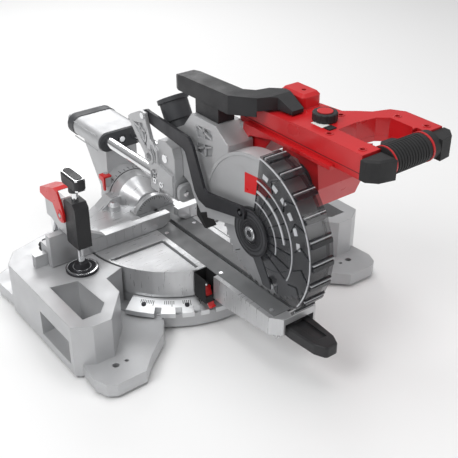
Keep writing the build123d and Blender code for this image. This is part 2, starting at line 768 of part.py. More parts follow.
MOTOR_Y, MOTOR_Z = -232.0, 232.0
with BuildPart() as motor:
    with BuildSketch(x_plane(31.2)):
        with Locations((MOTOR_Y, MOTOR_Z)):
            Circle(26)
    extrude(amount=66)
    with BuildSketch(x_plane(97)):
        with Locations((MOTOR_Y, MOTOR_Z)):
            Circle(7)
    extrude(amount=6)

MOTOR_COVER = [(-262, 280.9), (-268, 236), (-254, 202), (-226, 196), (-204, 206), (-198, 236),
               (-204, 280.9)]
with BuildPart() as motor_housing:
    with BuildSketch(x_plane(31.5)):
        with BuildLine():
            Polyline(*MOTOR_COVER, close=True)
        make_face()
        with Locations((MOTOR_Y, MOTOR_Z)):
            Circle(26.3, mode=Mode.SUBTRACT)
    extrude(amount=72)
    with BuildSketch(x_plane(103.5)):
        with BuildLine():
            Polyline(*MOTOR_COVER, close=True)
        make_face()
    extrude(amount=5)
    # cooling slots through the cover's underside
    with BuildSketch(z_plane(190)):
        with Locations(*[(44 + 8 * n, -239) for n in range(6)]):
            Rectangle(3, 26)
    extrude(amount=18, mode=Mode.SUBTRACT)

# red body: two shells that meet at the seam, running forward into the D handle
SEAM_Z = 288.5
BODY_FRONT_Y = -341.0     # front ends of the shells, where the bumpers begin
BODY_PLAN = [(BODY_X, -131), (BODY_X, -372), (30, -383), (50, -386), (56, -374), (114, -374),
             (120, -386), (140, -384), (150, -372), (150, -286), (140, -270), (118, -262),
             (92, -238), (88, -150), (74, -131)]
D_HOLE = [(49, -276), (49, -322), (56, -329), (114, -329), (121, -322), (121, -288), (108, -278),
          (80, -274)]


def body_plan():
    """Top view of the red body with its hand opening, as a face."""
    with BuildSketch(Plane.XY) as plan:
        with BuildLine():
            Polyline(*BODY_PLAN, close=True)
        make_face()
        with BuildLine():
            Polyline(*D_HOLE, close=True)
        make_face(mode=Mode.SUBTRACT)
    return plan.sketch


with BuildPart() as body_shell_upper:
    with BuildSketch(z_plane(SEAM_Z)):
        add(body_plan())
    extrude(amount=27)
    with BuildSketch(x_plane(0)):
        with BuildLine():
            Polyline((-120, 296), (-136, 298), (-160, 307), (-250, 311), (-372, 311), (-400, 303),
                     (-400, 340), (-120, 340), close=True)
        make_face()
    extrude(amount=200, mode=Mode.SUBTRACT)
    # the grip and the two bumpers close the front
    with Locations((87, -341.5, 300)):
        Box(74, 31, 40, mode=Mode.SUBTRACT)
    with Locations((85, BODY_FRONT_Y - 32.5, 300)):
        Box(160, 65, 40, mode=Mode.SUBTRACT)
    # dial seat, button seats and screw holes
    with Locations((56, -246, 311)):
        Hole(5.2, depth=8)
    with Locations((44, -268, 310)):
        Box(11.4, 9.4, 8, mode=Mode.SUBTRACT)
    with Locations((48, -300, 300)):
        Box(18, 12.4, 9.4, mode=Mode.SUBTRACT)
    with Locations(*[(x, y, 311) for x, y in SHELL_SCREWS]):
        Hole(2.9, depth=5)
    # raised block behind the dial
    with BuildSketch(z_plane(300)):
        with Locations((73, -184)):
            RectangleRounded(30, 44, 6)
    extrude(amount=27)
    chamfer(body_shell_upper.faces().sort_by(Axis.Z)[-1].edges(), 4)
    with Locations((73, -190, 327)):
        Hole(2.9, depth=4)

with BuildPart() as body_shell_lower:
    with BuildSketch(z_plane(281)):
        add(body_plan())
    extrude(amount=SEAM_Z - 281 - 0.02)
    with BuildSketch(x_plane(BODY_X)):
        with BuildLine():
            Polyline((-131, SEAM_Z - 0.02), (-128, 242), (-149, 236), (-170, 246), (-188, 270),
                     (-196, 281), (-196, SEAM_Z - 0.02), close=True)
        make_face()
    extrude(amount=58)
    with Locations((87, -341.5, 285)):
        Box(74, 31, 40, mode=Mode.SUBTRACT)
    with Locations((85, BODY_FRONT_Y - 32.5, 285)):
        Box(160, 65, 40, mode=Mode.SUBTRACT)

with BuildPart() as grip_cover:
    with BuildSketch(x_plane(50.3)):
        with Locations((-345.5, 297.5)):
            Ellipse(18.5, 16.5)
    extrude(amount=73.4)
    with Locations((85, -333, 297)):
        Box(28, 16, 13, mode=Mode.SUBTRACT)

with BuildPart() as handle_bumpers:
    with BuildSketch(z_plane(283)):
        with BuildLine():
            Polyline((BODY_X - 3, BODY_FRONT_Y - 0.3), (BODY_X - 3, -350), (29, -361), (50, -366),
                     (50, BODY_FRONT_Y - 0.3), close=True)
        make_face()
        with BuildLine():
            Polyline((124, BODY_FRONT_Y - 0.3), (124, -364), (142, -362), (153, -350),
                     (153, BODY_FRONT_Y - 0.3), close=True)
        make_face()
    extrude(amount=26)
    chamfer(handle_bumpers.faces().sort_by(Axis.Z)[-1].edges(), 2.5)

with BuildPart() as carry_handle:
    with BuildSketch(z_plane(304)):
        with BuildLine():
            Polyline((-13, -42), (-16, -50), (-14, -152), (8, -180), (32, -190), (34, -214),
                     (52, -214), (56, -176), (42, -162), (24, -158), (14, -146), (12, -46),
                     (8, -42), close=True)
        make_face()
    extrude(amount=24)
    with BuildSketch(x_plane(-60)):
        with BuildLine():
            Polyline((-30, 340), (-30, 318), (-46, 324), (-60, 326), (-150, 328), (-186, 328),
                     (-214, 316), (-214, 340), close=True)
        make_face()
    extrude(amount=140, mode=Mode.SUBTRACT)
    # post on the duct and foot on the red body
    with BuildSketch(z_plane(284.05)):
        with Locations((0, -107)):
            Rectangle(25, 48)
    extrude(amount=20)
    with BuildSketch(z_plane(280)):
        with Locations((53, -190)):
            Rectangle(90, 90)
    extrude(amount=31.2, mode=Mode.SUBTRACT)

with BuildPart() as dust_port:
    with BuildSketch(DUST_PLANE):
        Circle(17)
        Circle(14.5, mode=Mode.SUBTRACT)
    extrude(amount=46)
    with BuildSketch(DUST_PLANE.offset(15)):
        Circle(19.5)
        Circle(14.5, mode=Mode.SUBTRACT)
    extrude(amount=31)
    with BuildSketch(DUST_PLANE.offset(40)):
        Circle(21.5)
        Circle(14.5, mode=Mode.SUBTRACT)
    extrude(amount=6)

with BuildPart() as dust_flap:
    with BuildSketch(x_plane(-8)):
        with BuildLine():
            Polyline((-99, 144), (-94, 148), (-84, 160), (-74, 150), (-74, 128), (-92, 116),
                     (-98, 118), (-84, 132), (-82, 142), (-90, 144), close=True)
        make_face()
    extrude(amount=16)

with BuildPart() as head_screws:
    with BuildSketch(z_plane(306)):
        with Locations(*SHELL_SCREWS):
            Circle(2.8)
    extrude(amount=3)
    with BuildSketch(z_plane(323)):
        with Locations((73, -190)):
            Circle(2.8)
    extrude(amount=2.4)

# ---------------------------------------------------------------- controls
with BuildPart() as speed_dial:
    with BuildSketch(z_plane(311.6)):
        with Locations((56, -246)):
            Circle(15)
            with PolarLocations(16.6, 12):
                Circle(2.4, mode=Mode.SUBTRACT)
    extrude(amount=10)
    chamfer(speed_dial.faces().sort_by(Axis.Z)[-1].edges(), 1)
    with BuildSketch(z_plane(304)):
        with Locations((56, -246)):
            Circle(5.1)
    extrude(amount=8)

with BuildPart() as light_button:
    with Locations((44, -268, 310)):
        Box(10.8, 8.8, 5)

with BuildPart() as lock_off_button:
    with Locations((48.5, -300, 300)):
        Box(10, 11.6, 8.6)

with BuildPart() as trigger:
    with BuildSketch(z_plane(291)):
        with BuildLine():
            Polyline((71.6, -332.6), (71.6, -323), (76, -316), (94, -316), (98.4, -323),
                     (98.4, -332.6), close=True)
        make_face()
    extrude(amount=12)
    fillet(trigger.edges().filter_by(Axis.Z).sort_by(Axis.Y)[-2:], 4)

# ================================================================ blade
with BuildPart() as saw_blade:
    with BuildSketch(x_plane(-BLADE_PLATE / 2)):
        with Locations((ARBOR_Y, ARBOR_Z)):
            Circle(BLADE_R - 4)
            with PolarLocations(BLADE_R - 4.2, 48):
                Polygon((-3.4, -2), (3.4, -2), (3.4, 4.2), (1.4, 4.2), (-3.4, 0.5), align=None,
                        rotation=-90)
            Circle(10, mode=Mode.SUBTRACT)
    extrude(amount=BLADE_PLATE)

with BuildPart() as blade_flanges:
    for x in (-4.9, 0.9):
        with BuildSketch(x_plane(x)):
            with Locations((ARBOR_Y, ARBOR_Z)):
                Circle(19 if x < 0 else 13)
                Circle(10, mode=Mode.SUBTRACT)
        extrude(amount=4)

with BuildPart() as arbor_shaft:
    with BuildSketch(x_plane(-9)):
        with Locations((ARBOR_Y, ARBOR_Z)):
            Circle(9.98)
    extrude(amount=36)
    with BuildSketch(x_plane(-18)):
        with Locations((ARBOR_Y, ARBOR_Z)):
            Circle(13)
            RegularPolygon(5, 6, mode=Mode.SUBTRACT)
    extrude(amount=9)

# ================================================================ lower guard and its link
ROLLER_Y, ROLLER_Z = -246.0, 114.0
GUARD_START, GUARD_END = 97.0, 232.0     # sector at rest, degrees from +Y towards +Z
HUB = (ARBOR_Y, ARBOR_Z)
GUARD_SECTOR = [HUB, polar(300, GUARD_END, HUB), (-500, -300), (300, -300), (300, 600),
                polar(300, GUARD_START, HUB)]
with BuildPart() as lower_guard:
    # left wall, right wall and rim, each cut back to the guard's sector
    for x, thick, outer, inner in ((GUARD_LEFT_X, 3, 24, 27.1), (GUARD_RIGHT_X - 2.5, 2.5, 24, 84),
                                   (GUARD_LEFT_X, GUARD_RIGHT_X - GUARD_LEFT_X, 24, 0)):
        with BuildSketch(x_plane(x)):
            with Locations(HUB):
                RegularPolygon(GUARD_R, outer)
                if inner:
                    Circle(inner, mode=Mode.SUBTRACT)
                else:
                    RegularPolygon(GUARD_R - 3.5, outer, mode=Mode.SUBTRACT)
            with BuildLine():
                Polyline(*GUARD_SECTOR, close=True)
            make_face(mode=Mode.SUBTRACT)
            if thick == 3:
                with Locations(HUB):
                    Circle(34)
                    Circle(27.1, mode=Mode.SUBTRACT)
        extrude(amount=thick)
    # lower corner cut back so that it clears the table at full bevel
    with BuildSketch(y_plane(-100)):
        with BuildLine():
            Polyline((-60, TABLE_Z + 62.5), (-60, 0), (60, 0), (60, TABLE_Z - 57.5), close=True)
        make_face()
    extrude(amount=300, mode=Mode.SUBTRACT)

with BuildPart() as guard_hub:
    for radius, depth in ((31, 1.9), (27, 4.6)):
        with BuildSketch(x_plane(GUARD_LEFT_X - 2)):
            with Locations(HUB):
                Circle(radius)
                Circle(17.02, mode=Mode.SUBTRACT)
        extrude(amount=depth)
    # open front pivot of the link, and the dark arm down to the roller
    with BuildSketch(x_plane(LINK_X - 1)):
        with Locations(LINK_FRONT):
            Circle(2.2)
    extrude(amount=7.2)
    with BuildSketch(x_plane(GUARD_LEFT_X - 2)):
        with BuildLine():
            Polyline(polar(28, 262, HUB), polar(28, 228, HUB), (-254, 118), (-254, 110.5),
                     (-240, 110.5), (-236, 118), close=True)
        make_face()
    extrude(amount=1.9)
    with BuildSketch(x_plane(GUARD_LEFT_X - 2)):
        with Locations((ROLLER_Y, ROLLER_Z)):
            Circle(3)
    extrude(amount=16)

with BuildPart() as guard_roller:
    with BuildSketch(x_plane(GUARD_LEFT_X + 4)):
        with Locations((ROLLER_Y, ROLLER_Z)):
            Circle(8)
            Circle(3.06, mode=Mode.SUBTRACT)
    extrude(amount=6)

with BuildPart() as guard_link:
    with BuildSketch(x_plane(LINK_X)):
        with BuildLine():
            Polyline((14, 260), (16, 251), (8, 246), (-78, 237), (-84, 234), (-103, 186), (-112, 176),
                     (-128, 172), (-196, 187), (-206, 189), (-208, 198), (-201, 205), (-130, 194),
                     (-124, 197), (-100, 248), (-90, 257), (-2, 262), (6, 263), close=True)
        make_face()
        with Locations(LINK_REAR):
            Circle(3.05, mode=Mode.SUBTRACT)
        with Locations(LINK_FRONT):
            Circle(5.2, mode=Mode.SUBTRACT)
    extrude(amount=4)

# ================================================================ workpiece clamp
ARM_HALF_W = 10.0         # half width of the clamp's arm
with BuildPart() as clamp_post:
    with BuildSketch(z_plane(52)):
        with Locations((CLAMP_X, CLAMP_POST_Y)):
            Circle(6)
    extrude(amount=118)

with BuildPart() as clamp_arm:
    with BuildSketch(x_plane(CLAMP_X - ARM_HALF_W)):
        with BuildLine():
            Polyline((38, 137), (28, 137), (8, 130), (-10, 129), (-15.7, 129), (-15.7, 180),
                     (-8, 180), (18, 164), (38, 164), close=True)
        make_face()
    extrude(amount=2 * ARM_HALF_W)
    with BuildSketch(z_plane(137)):
        with Locations((CLAMP_X, CLAMP_POST_Y)):
            Circle(ARM_HALF_W)
    extrude(amount=27)
    with BuildSketch(z_plane(100)):
        with Locations((CLAMP_X, CLAMP_POST_Y)):
            Circle(6.06)
    extrude(amount=120, mode=Mode.SUBTRACT)
    # pivot stub of the lever
    with BuildSketch(x_plane(CLAMP_X - ARM_HALF_W - 4.4)):
        with Locations((-9, 157)):
            Circle(3)
    extrude(amount=4.4)

with BuildPart() as clamp_nut:
    with BuildSketch(x_plane(CLAMP_X - ARM_HALF_W)):
        with BuildLine():
            Polyline((-16, 122), (-18, 120), (-46, 120), (-46, 178), (-40, 185), (-20, 185),
                     (-16, 181), close=True)
        make_face()
    extrude(amount=2 * ARM_HALF_W)
    with BuildSketch(z_plane(100)):
        with Locations((CLAMP_X, CLAMP_NUT_Y)):
            Circle(4.56)
    extrude(amount=120, mode=Mode.SUBTRACT)

with BuildPart() as clamp_lever:
    # cheek with the pivot eye, and the cap that lies over the arm
    with BuildSketch(x_plane(CLAMP_X - ARM_HALF_W - 3.6)):
        with BuildLine():
            Polyline((46, 168), (44, 178), (4, 192), (-6, 190), (-15, 172), (-19, 160), (-18, 150),
                     (-10, 147), (-2, 150), (10, 168), (30, 166), close=True)
        make_face()
        with Locations((-9, 157)):
            Circle(3.06, mode=Mode.SUBTRACT)
    extrude(amount=3)
    with BuildSketch(x_plane(CLAMP_X - ARM_HALF_W - 3.6)):
        with BuildLine():
            Polyline((46, 171), (44, 178), (4, 192), (-3, 190), (2, 186.5), (40, 174), close=True)
        make_face()
    extrude(amount=2 * ARM_HALF_W + 3.6)

with BuildPart() as clamp_screw:
    with BuildSketch(z_plane(87)):
        with Locations((CLAMP_X, CLAMP_NUT_Y)):
            Circle(4.5)
    extrude(amount=122)
    with BuildSketch(z_plane(205)):
        with BuildLine():
            Polyline((CLAMP_X - 7, -10), (CLAMP_X + 7, -10), (CLAMP_X + 7, -50), (CLAMP_X - 7, -50),
                     close=True)
        make_face()
    extrude(amount=17)
    fillet(clamp_screw.edges().filter_by(Axis.Z).group_by(Axis.Z)[-1], 3)

with BuildPart() as clamp_foot:
    with BuildSketch(z_plane(TABLE_Z + 0.2)):
        with Locations((CLAMP_X, CLAMP_NUT_Y)):
            Circle(22)
    extrude(amount=3)
    with BuildSketch(z_plane(TABLE_Z + 3.2)):
        with Locations((CLAMP_X, CLAMP_NUT_Y)):
            Circle(12)
    extrude(amount=8, taper=22)
    with Locations((CLAMP_X, CLAMP_NUT_Y, TABLE_Z + 11.2)):
        Hole(4.56, depth=4.4)

# ================================================================ labels and files
PIECES = {
    "base_casting": base_casting, "rubber_feet": rubber_feet, "mitre_scale_ring": mitre_scale_ring,
    "fence_fixed": fence_fixed, "base_screws": base_screws,
    "sliding_fence_left": sliding_fence_left, "sliding_fence_right": sliding_fence_right,
    "fence_knob_left": fence_knob_left, "fence_knob_right": fence_knob_right,
    "turntable_casting": turntable_casting, "kerf_boards": kerf_boards,
    "turntable_screws": turntable_screws, "mitre_pointer": mitre_pointer,
    "bevel_scale_plate": bevel_scale_plate, "bevel_pivot_shaft": bevel_pivot_shaft,
    "mitre_handle": mitre_handle, "detent_lever": detent_lever,
    "bevel_arm_casting": bevel_arm_casting, "rail_housing_cap": rail_housing_cap,
    "rail_housing_plate": rail_housing_plate, "slide_rails": slide_rails,
    "rail_end_plates": rail_end_plates, "bevel_pointer": bevel_pointer,
    "bevel_screws": bevel_screws, "bevel_lock_lever": bevel_lock_lever,
    "carriage_casting": carriage_casting, "rail_bushings": rail_bushings,
    "head_hinge_pin": head_hinge_pin, "return_spring": return_spring,
    "carriage_screws": carriage_screws, "slide_lock_knob": slide_lock_knob,
    "head_casting": head_casting, "gear_housing": gear_housing, "motor": motor,
    "motor_housing": motor_housing, "body_shell_upper": body_shell_upper,
    "body_shell_lower": body_shell_lower, "grip_cover": grip_cover,
    "handle_bumpers": handle_bumpers, "carry_handle": carry_handle, "dust_port": dust_port,
    "dust_flap": dust_flap, "head_screws": head_screws,
    "speed_dial": speed_dial, "light_button": light_button,
    "lock_off_button": lock_off_button, "trigger": trigger,
    "saw_blade": saw_blade, "blade_flanges": blade_flanges, "arbor_shaft": arbor_shaft,
    "lower_guard": lower_guard, "guard_hub": guard_hub, "guard_roller": guard_roller,
    "guard_link": guard_link, "clamp_post": clamp_post, "clamp_arm": clamp_arm,
    "clamp_nut": clamp_nut,
    "clamp_lever": clamp_lever, "clamp_screw": clamp_screw, "clamp_foot": clamp_foot,
}
for node, piece in PIECES.items():
    piece.part.label = node
    piece.part.location = Location((0, -MIDDLE_Y, 0))
    export_step(piece.part, f"parts/{node}.step")
print(len(PIECES), "nodes written")
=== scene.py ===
"""Looks of the sliding mitre saw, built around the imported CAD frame.

Sizes are in millimetres from the mitre turntable's axis, as in the part's source, and mm() turns
them into the frame's metres. x runs to the saw's right, y to its back and z up.
"""

import math

import bmesh
import bpy
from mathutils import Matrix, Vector


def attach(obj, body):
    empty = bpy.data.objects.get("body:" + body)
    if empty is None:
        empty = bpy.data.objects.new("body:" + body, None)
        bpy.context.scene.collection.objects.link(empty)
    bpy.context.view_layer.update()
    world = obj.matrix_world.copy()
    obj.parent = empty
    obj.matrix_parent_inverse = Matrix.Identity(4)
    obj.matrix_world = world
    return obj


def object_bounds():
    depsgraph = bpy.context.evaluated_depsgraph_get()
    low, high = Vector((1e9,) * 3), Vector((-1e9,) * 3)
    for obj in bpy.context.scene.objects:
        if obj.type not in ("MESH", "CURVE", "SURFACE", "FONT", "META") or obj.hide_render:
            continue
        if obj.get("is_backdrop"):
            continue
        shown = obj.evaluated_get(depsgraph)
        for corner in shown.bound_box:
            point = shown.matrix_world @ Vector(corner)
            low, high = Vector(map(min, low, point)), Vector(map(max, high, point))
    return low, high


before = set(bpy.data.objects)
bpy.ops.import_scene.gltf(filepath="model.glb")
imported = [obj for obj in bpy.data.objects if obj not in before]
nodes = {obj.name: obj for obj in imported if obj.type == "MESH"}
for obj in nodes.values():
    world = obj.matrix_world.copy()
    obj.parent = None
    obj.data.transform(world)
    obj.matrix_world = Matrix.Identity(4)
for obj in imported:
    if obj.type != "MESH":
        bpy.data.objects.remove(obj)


def plain(value):
    if isinstance(value, (list, tuple, Vector)):
        return [plain(v) for v in value]
    return round(float(value), 5)


size_at_load = plain(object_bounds())

FRAME_SHIFT_Y = 61.5       # the frame's origin lies this far in front of the turntable's axis
TABLE_Z = 80               # top of the turntable, and height of the bevel axis
ARBOR = (-214.0, 172.0)    # y, z of the blade's axis
CLAMP = (-166, -30)        # x, y of the clamp's screw
SMOOTH = 30                # degrees; edges sharper than this stay sharp


def mm(x, y, z):
    """A place in the frame, in metres, from design millimetres."""
    return Vector((x / 1000, (y + FRAME_SHIFT_Y) / 1000, z / 1000))


# ---------------------------------------------------------------- materials
def material(name, colour, metallic=0.0, rough=0.5, rough_spread=0.12, rough_scale=60.0,
             bump=0.0, bump_scale=400.0, stretch=(1, 1, 1), tint=0.0, edge=0.0006, coat=0.0):
    """A procedural material: noise varies roughness, colour and height, and edges look rounded."""
    m = bpy.data.materials.new(name)
    m.use_nodes = True
    tree = m.node_tree
    bsdf = tree.nodes["Principled BSDF"]
    bsdf.inputs["Metallic"].default_value = metallic
    bsdf.inputs["IOR"].default_value = 1.45
    bsdf.inputs["Coat Weight"].default_value = coat
    bsdf.inputs["Coat Roughness"].default_value = 0.12
    coords = tree.nodes.new("ShaderNodeTexCoord")
    mapping = tree.nodes.new("ShaderNodeMapping")
    mapping.inputs["Scale"].default_value = stretch
    tree.links.new(coords.outputs["Object"], mapping.inputs["Vector"])

    def noise(scale, detail):
        n = tree.nodes.new("ShaderNodeTexNoise")
        n.inputs["Scale"].default_value = scale
        n.inputs["Detail"].default_value = detail
        tree.links.new(mapping.outputs["Vector"], n.inputs["Vector"])
        return n.outputs["Fac"]

    def spread(fac, low, high):
        r = tree.nodes.new("ShaderNodeMapRange")
        r.inputs["From Min"].default_value = 0.3
        r.inputs["From Max"].default_value = 0.7
        r.inputs["To Min"].default_value = low
        r.inputs["To Max"].default_value = high
        tree.links.new(fac, r.inputs["Value"])
        return r.outputs["Result"]

    tree.links.new(spread(noise(rough_scale, 4), max(0.02, rough - rough_spread),
                          min(1.0, rough + rough_spread)), bsdf.inputs["Roughness"])
    mix = tree.nodes.new("ShaderNodeMix")
    mix.data_type = "RGBA"
    mix.inputs["A"].default_value = (*[c * (1 - tint) for c in colour], 1)
    mix.inputs["B"].default_value = (*[min(1, c * (1 + tint)) for c in colour], 1)
    tree.links.new(spread(noise(18.0, 5), 0.0, 1.0), mix.inputs["Factor"])
    tree.links.new(mix.outputs["Result"], bsdf.inputs["Base Color"])
    normal = None
    if edge:
        bevel = tree.nodes.new("ShaderNodeBevel")
        bevel.samples = 4
        bevel.inputs["Radius"].default_value = edge
        normal = bevel.outputs["Normal"]
    if bump:
        height = tree.nodes.new("ShaderNodeBump")
        height.inputs["Strength"].default_value = bump
        height.inputs["Distance"].default_value = 0.0004
        tree.links.new(noise(bump_scale, 3), height.inputs["Height"])
        if normal is not None:
            tree.links.new(normal, height.inputs["Normal"])
        normal = height.outputs["Normal"]
    if normal is not None:
        tree.links.new(normal, bsdf.inputs["Normal"])
    return m


CAST = material("cast aluminium", (0.52, 0.525, 0.535), 0.5, 0.42, 0.08, 30, 0.22, 900, tint=0.05,
                edge=0.0014)
MACHINED = material("machined aluminium", (0.60, 0.605, 0.615), 0.7, 0.34, 0.08, 40, 0.10, 700,
                    stretch=(1, 14, 1), tint=0.04, edge=0.0012)
SCALE = material("scale plate", (0.72, 0.73, 0.74), 0.8, 0.34, 0.06, 80, 0.08, 900, tint=0.03,
                 edge=0.0005)
CHROME = material("bright steel", (0.83, 0.84, 0.85), 1.0, 0.14, 0.06, 50, 0.02, 300, tint=0.02,
                  edge=0.0004)
DARK_STEEL = material("dark steel", (0.045, 0.045, 0.05), 0.6, 0.40, 0.10, 50, 0.12, 900,
                      tint=0.15, edge=0.0006)
BOARD = material("kerf board", (0.19, 0.195, 0.20), 0.1, 0.52, 0.10, 60, 0.25, 1300, tint=0.10,
                 edge=0.0004)
BLACK = material("black plastic", (0.022, 0.022, 0.024), 0.0, 0.48, 0.10, 40, 0.35, 1600,
                 tint=0.2, edge=0.001)
GREY = material("dark grey plastic", (0.055, 0.057, 0.062), 0.0, 0.50, 0.10, 40, 0.30, 1600,
                tint=0.15, edge=0.001)
RED = material("red plastic", (0.58, 0.012, 0.016), 0.0, 0.33, 0.08, 35, 0.10, 1300, tint=0.06,
               edge=0.0012, coat=0.25)
RED_PAINT = material("red paint", (0.62, 0.015, 0.015), 0.1, 0.34, 0.08, 50, 0.10, 900, tint=0.05,
                     edge=0.0008, coat=0.3)
RUBBER = material("black rubber", (0.020, 0.020, 0.021), 0.0, 0.62, 0.10, 50, 0.45, 1800,
                  tint=0.2, edge=0.001)
BLADE = material("blade steel", (0.50, 0.505, 0.52), 0.45, 0.34, 0.06, 20, 0.02, 300,
                 stretch=(1, 3, 3), tint=0.05, edge=0.0)
LABEL_RED = material("red label", (0.66, 0.012, 0.015), 0.0, 0.30, 0.05, 60, 0.03, 900, tint=0.03,
                     edge=0.0)
LABEL_WHITE = material("white label", (0.78, 0.78, 0.76), 0.0, 0.45, 0.05, 60, 0.05, 900,
                       tint=0.03, edge=0.0)
INK = material("dark ink", (0.02, 0.02, 0.022), 0.0, 0.55, 0.05, 60, 0.05, 900, tint=0.1, edge=0.0)
POCKET = material("pocket shadow", (0.012, 0.012, 0.013), 0.0, 0.7, 0.05, 60, 0.1, 900, tint=0.1,
                  edge=0.0)


def clear_plastic(name, colour, alpha):
    """Smoky guard plastic: mostly seen through, denser where the surface turns away."""
    m = material(name, colour, 0.0, 0.10, 0.03, 12, tint=0.04, edge=0.0, coat=0.4)
    tree = m.node_tree
    bsdf = tree.nodes["Principled BSDF"]
    facing = tree.nodes.new("ShaderNodeLayerWeight")
    facing.inputs["Blend"].default_value = 0.25
    ramp = tree.nodes.new("ShaderNodeMapRange")
    ramp.inputs["To Min"].default_value = alpha
    ramp.inputs["To Max"].default_value = min(1.0, alpha + 0.45)
    tree.links.new(facing.outputs["Facing"], ramp.inputs["Value"])
    tree.links.new(ramp.outputs["Result"], bsdf.inputs["Alpha"])
    return m


GUARD = clear_plastic("smoky guard", (0.018, 0.019, 0.023), 0.30)
GUARD_RIB = clear_plastic("guard rib", (0.02, 0.021, 0.025), 0.60)
# painted highlight: near-white clear plastic that stands in for the reflections on the guard's wall
# and rim
GUARD_HIGHLIGHT = clear_plastic("painted guard highlight", (0.80, 0.81, 0.84), 0.55)

NODE_LOOKS = {
    "base_casting": CAST, "rubber_feet": RUBBER, "mitre_scale_ring": SCALE, "fence_fixed": MACHINED,
    "base_screws": DARK_STEEL, "sliding_fence_left": CAST, "sliding_fence_right": CAST,
    "fence_knob_left": BLACK, "fence_knob_right": BLACK, "turntable_casting": MACHINED,
    "kerf_boards": BOARD, "turntable_screws": CHROME, "mitre_pointer": RED_PAINT,
    "bevel_scale_plate": MACHINED, "bevel_pivot_shaft": CHROME, "mitre_handle": BLACK,
    "detent_lever": CHROME, "bevel_arm_casting": CAST, "rail_housing_cap": GREY,
    "rail_housing_plate": GREY, "slide_rails": CHROME, "rail_end_plates": CAST,
    "bevel_pointer": RED_PAINT, "bevel_screws": CHROME, "bevel_lock_lever": BLACK,
    "carriage_casting": CAST, "rail_bushings": GREY, "head_hinge_pin": CHROME,
    "return_spring": DARK_STEEL, "carriage_screws": CHROME, "slide_lock_knob": BLACK,
    "head_casting": CAST, "gear_housing": CAST, "motor": GREY, "motor_housing": RED,
    "body_shell_upper": RED, "body_shell_lower": RED, "grip_cover": RUBBER,
    "handle_bumpers": RUBBER, "carry_handle": BLACK, "dust_port": GREY, "dust_flap": RUBBER,
    "head_screws": DARK_STEEL, "speed_dial": BLACK, "light_button": BLACK,
    "lock_off_button": BLACK, "trigger": BLACK, "saw_blade": BLADE, "blade_flanges": DARK_STEEL,
    "arbor_shaft": DARK_STEEL, "lower_guard": GUARD, "guard_hub": GREY, "guard_roller": CHROME,
    "guard_link": DARK_STEEL, "clamp_post": CHROME, "clamp_arm": CAST, "clamp_nut": BLACK,
    "clamp_lever": RED_PAINT, "clamp_screw": CHROME, "clamp_foot": DARK_STEEL,
}
for name, look in NODE_LOOKS.items():
    for material_slot in nodes[name].material_slots:
        material_slot.material = look


# ---------------------------------------------------------------- mesh helpers
def add_mesh(name, bm, look, body, smooth=None):
    """Turns a bmesh in design millimetres into a piece that rides with a CAD body."""
    for v in bm.verts:
        v.co = mm(*v.co)
    bmesh.ops.recalc_face_normals(bm, faces=bm.faces)
    mesh = bpy.data.meshes.new(name)
    bm.to_mesh(mesh)
    bm.free()
    obj = bpy.data.objects.new(name, mesh)
    bpy.context.scene.collection.objects.link(obj)
    mesh.materials.append(look)
    if smooth:
        for p in mesh.polygons:
            p.use_smooth = True
        mod = obj.modifiers.new("split", "EDGE_SPLIT")
        mod.split_angle = math.radians(smooth)
    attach(obj, body)
    return obj


def skin(bm, lower, upper):
    """Closes the solid between two outlines with the same number of corners."""
    n = len(lower)
    bm.faces.new(lower)
    bm.faces.new(upper)
    for i in range(n):
        bm.faces.new((lower[i], lower[(i + 1) % n], upper[(i + 1) % n], upper[i]))


def prism(bm, outline, low, high, axis="x"):
    """Closed prism over an outline. axis x: (y, z) points, y: (x, z) points, z: (x, y) points."""
    def at(point, level):
        a, b = point
        return {"x": (level, a, b), "y": (a, level, b), "z": (a, b, level)}[axis]
    lower = [bm.verts.new(at(q, low)) for q in outline]
    upper = [bm.verts.new(at(q, high)) for q in outline]
    skin(bm, lower, upper)


def rect(a0, b0, a1, b1):
    """Outline of a rectangle between two opposite corners."""
    return [(a0, b0), (a1, b0), (a1, b1), (a0, b1)]


def rounded_rect(centre, half_x, half_y, radius):
    """Outline of a rectangle with rounded corners."""
    outline = []
    for side_x, side_y, start in ((1, 1, 0), (-1, 1, 90), (-1, -1, 180), (1, -1, 270)):
        for i in range(7):
            t = math.radians(start + 15 * i)
            outline.append((centre[0] + side_x * (half_x - radius) + radius * math.cos(t),
                            centre[1] + side_y * (half_y - radius) + radius * math.sin(t)))
    return outline


def strip(a, b, width):
    """Outline of a straight bar of the given width from a to b."""
    d = Vector(b) - Vector(a)
    n = Vector((-d.y, d.x)).normalized() * (width / 2)
    return [tuple(Vector(a) + n), tuple(Vector(b) + n), tuple(Vector(b) - n), tuple(Vector(a) - n)]


def ring(centre, r_out, r_in, start=0.0, end=360.0, steps=48):
    """Outlines of a flat ring or arc, one quad per step."""
    quads = []
    for i in range(steps):
        a = math.radians(start + (end - start) * i / steps)
        b = math.radians(start + (end - start) * (i + 1) / steps)
        quads.append([(centre[0] + r * math.cos(t), centre[1] + r * math.sin(t))
                      for r, t in ((r_out, a), (r_out, b), (r_in, b), (r_in, a))])
    return quads


def ring_prism(bm, centre, r_out, r_in, low, high, axis="x", **arc):
    """A ring or arc with thickness. arc holds the start, end and steps of ring()."""
    for quad in ring(centre, r_out, r_in, **arc):
        prism(bm, quad, low, high, axis)


def disc(centre, radius, steps=32):
    """Outline of a circle."""
    return [(centre[0] + radius * math.cos(2 * math.pi * i / steps),
             centre[1] + radius * math.sin(2 * math.pi * i / steps)) for i in range(steps)]


def polar(radius, degrees, centre=ARBOR):
    """A point at a radius and angle about a centre, by default the blade's axis."""
    return (centre[0] + radius * math.cos(math.radians(degrees)),
            centre[1] + radius * math.sin(math.radians(degrees)))


